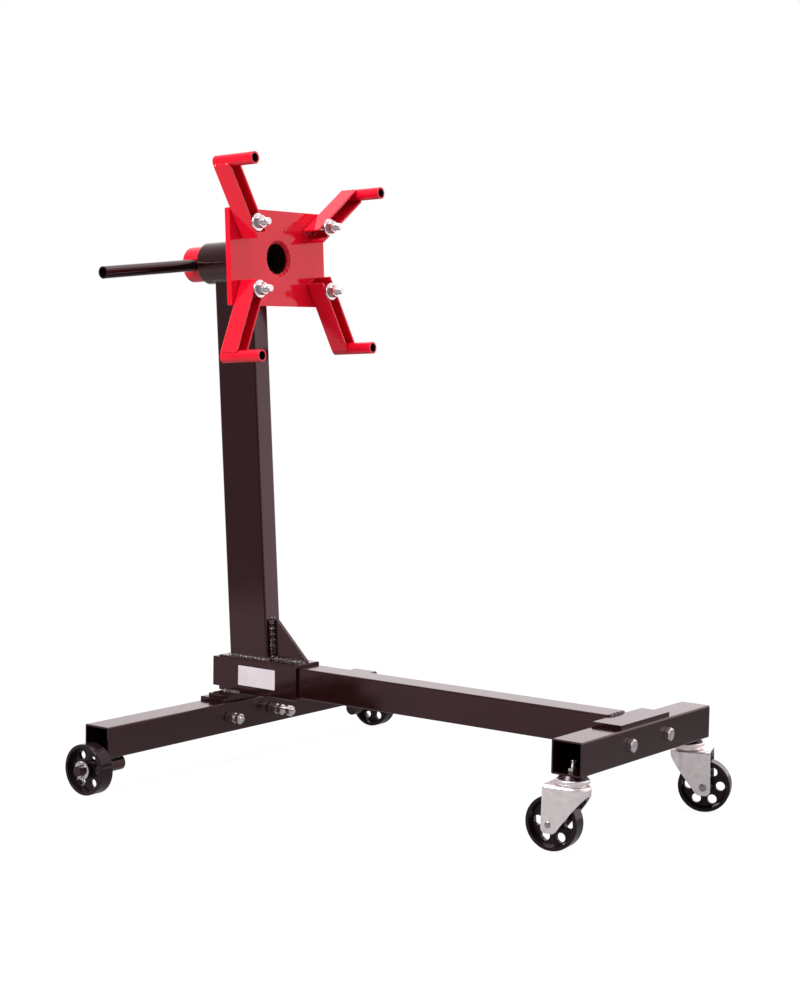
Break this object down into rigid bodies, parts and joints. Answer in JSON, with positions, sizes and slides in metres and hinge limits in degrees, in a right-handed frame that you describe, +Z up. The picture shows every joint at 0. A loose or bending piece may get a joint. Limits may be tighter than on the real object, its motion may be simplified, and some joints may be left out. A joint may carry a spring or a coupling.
{
  "type": "engine stand",
  "caption": "T-shaped rolling stand with a leaning column and a rotating head whose plate carries pivoting, slotted arms for holding an engine block.",
  "frame": {"origin": "on the floor, under the middle of the whole stand's bounding box", "axes": "+Z up; +X forwards, from the column's side to the swivel casters; +Y across, to the right of someone who faces the mounting plate"},
  "size_m": [0.947, 0.7768, 1],
  "materials": {
    "frame_paint": "glossy black powder coat",
    "head_paint": "glossy red powder coat",
    "zinc": "bright zinc plate",
    "handle_paint": "glossy black enamel",
    "wheel_plastic": "satin dark",
    "label_film": "smooth film"
  },
  "bodies": {
    "base": {"rear_crossbar": "frame_paint", "front_crossbar": "frame_paint", "main_beam": "frame_paint", "receiver_sleeve": "frame_paint", "foot_plate": "frame_paint", "rear_angle": "frame_paint", "front_angle": "frame_paint", "column": "frame_paint", "gusset": "frame_paint", "bearing_tube": "frame_paint", "frame_welds": "frame_paint", "axle_welds": "frame_paint", "rating_label": "label_film", "rear_joint_bolts": "zinc", "rear_joint_nuts": "zinc", "front_joint_bolts": "zinc", "front_joint_nuts": "zinc", "rear_axles": "frame_paint", "axle_washers": "zinc", "cotter_pins": "zinc", "caster_stems": "zinc", "caster_nuts": "zinc", "caster_cups": "zinc", "caster_balls": "zinc"},
    "head": {"spindle_tube": "head_paint", "mounting_plate": "head_paint", "head_weld": "head_paint"},
    "handle": {"handle_bar": "handle_paint"},
    "clamp_upper_left": {"arm_bolt_upper_left": "zinc", "arm_washer_upper_left": "zinc", "arm_nut_upper_left": "zinc"},
    "arm_upper_left": {"arm_channel_upper_left": "head_paint", "arm_sleeve_upper_left": "head_paint"},
    "clamp_upper_right": {"arm_bolt_upper_right": "zinc", "arm_washer_upper_right": "zinc", "arm_nut_upper_right": "zinc"},
    "arm_upper_right": {"arm_channel_upper_right": "head_paint", "arm_sleeve_upper_right": "head_paint"},
    "clamp_lower_left": {"arm_bolt_lower_left": "zinc", "arm_washer_lower_left": "zinc", "arm_nut_lower_left": "zinc"},
    "arm_lower_left": {"arm_channel_lower_left": "head_paint", "arm_sleeve_lower_left": "head_paint"},
    "clamp_lower_right": {"arm_bolt_lower_right": "zinc", "arm_washer_lower_right": "zinc", "arm_nut_lower_right": "zinc"},
    "arm_lower_right": {"arm_channel_lower_right": "head_paint", "arm_sleeve_lower_right": "head_paint"},
    "rear_wheel_left": {"rear_wheel_left": "wheel_plastic"},
    "rear_wheel_right": {"rear_wheel_right": "wheel_plastic"},
    "caster_left": {"caster_fork_left": "zinc", "caster_axle_left": "zinc", "caster_bush_left": "zinc"},
    "caster_wheel_left": {"caster_wheel_left": "wheel_plastic"},
    "caster_right": {"caster_fork_right": "zinc", "caster_axle_right": "zinc", "caster_bush_right": "zinc"},
    "caster_wheel_right": {"caster_wheel_right": "wheel_plastic"}
  },
  "joints": [
    {"name": "head_spin", "type": "hinge", "parent": "base", "child": "head", "pos_m": [-0.28618, 0, 0.83891], "axis": [0.9986, 0, 0.0523], "continuous": true},
    {"name": "handle_slide", "type": "slide", "parent": "head", "child": "handle", "axis": [-0.0046, 0.9962, 0.087], "range_m": [-0.11, 0.19]},
    {"name": "arm_pivot_upper_left", "type": "hinge", "parent": "head", "child": "clamp_upper_left", "pos_m": [-0.28895, -0.091, 0.89184], "axis": [0.9986, 0, 0.0523], "range_deg": [-29.8, 60.2]},
    {"name": "arm_reach_upper_left", "type": "slide", "parent": "clamp_upper_left", "child": "arm_upper_left", "axis": [-0.0454, -0.497, 0.8666], "range_m": [-0.0055, 0.0125]},
    {"name": "arm_pivot_upper_right", "type": "hinge", "parent": "head", "child": "clamp_upper_right", "pos_m": [-0.28895, 0.091, 0.89184], "axis": [0.9986, 0, 0.0523], "range_deg": [-34.5, 55.5]},
    {"name": "arm_reach_upper_right", "type": "slide", "parent": "clamp_upper_right", "child": "arm_upper_right", "axis": [-0.0296, 0.8241, 0.5656], "range_m": [-0.001, 0.017]},
    {"name": "arm_pivot_lower_left", "type": "hinge", "parent": "head", "child": "clamp_lower_left", "pos_m": [-0.28341, -0.091, 0.78598], "axis": [0.9986, 0, 0.0523], "range_deg": [-65, 25]},
    {"name": "arm_reach_lower_left", "type": "slide", "parent": "clamp_lower_left", "child": "arm_lower_left", "axis": [0.0474, -0.4226, -0.9051], "range_m": [-0.0155, 0.0025]},
    {"name": "arm_pivot_lower_right", "type": "hinge", "parent": "head", "child": "clamp_lower_right", "pos_m": [-0.28341, 0.091, 0.78598], "axis": [0.9986, 0, 0.0523], "range_deg": [-29, 61]},
    {"name": "arm_reach_lower_right", "type": "slide", "parent": "clamp_lower_right", "child": "arm_lower_right", "axis": [0.0458, 0.4848, -0.8734], "range_m": [-0.0058, 0.0122]},
    {"name": "rear_wheel_spin_left", "type": "hinge", "parent": "base", "child": "rear_wheel_left", "pos_m": [-0.35094, -0.3632, 0.04], "axis": [0, 1, 0], "continuous": true},
    {"name": "rear_wheel_spin_right", "type": "hinge", "parent": "base", "child": "rear_wheel_right", "pos_m": [-0.35094, 0.3632, 0.04], "axis": [0, 1, 0], "continuous": true},
    {"name": "caster_swivel_left", "type": "hinge", "parent": "base", "child": "caster_left", "pos_m": [0.40666, -0.1675, 0.112], "axis": [0, 0, 1], "continuous": true},
    {"name": "caster_wheel_spin_left", "type": "hinge", "parent": "caster_left", "child": "caster_wheel_left", "pos_m": [0.37986, -0.17079, 0.04], "axis": [-0.1219, 0.9925, 0], "continuous": true},
    {"name": "caster_swivel_right", "type": "hinge", "parent": "base", "child": "caster_right", "pos_m": [0.40666, 0.1675, 0.112], "axis": [0, 0, 1], "continuous": true},
    {"name": "caster_wheel_spin_right", "type": "hinge", "parent": "caster_right", "child": "caster_wheel_right", "pos_m": [0.43203, 0.17674, 0.04], "axis": [0.342, -0.9397, 0], "continuous": true}
  ]
}
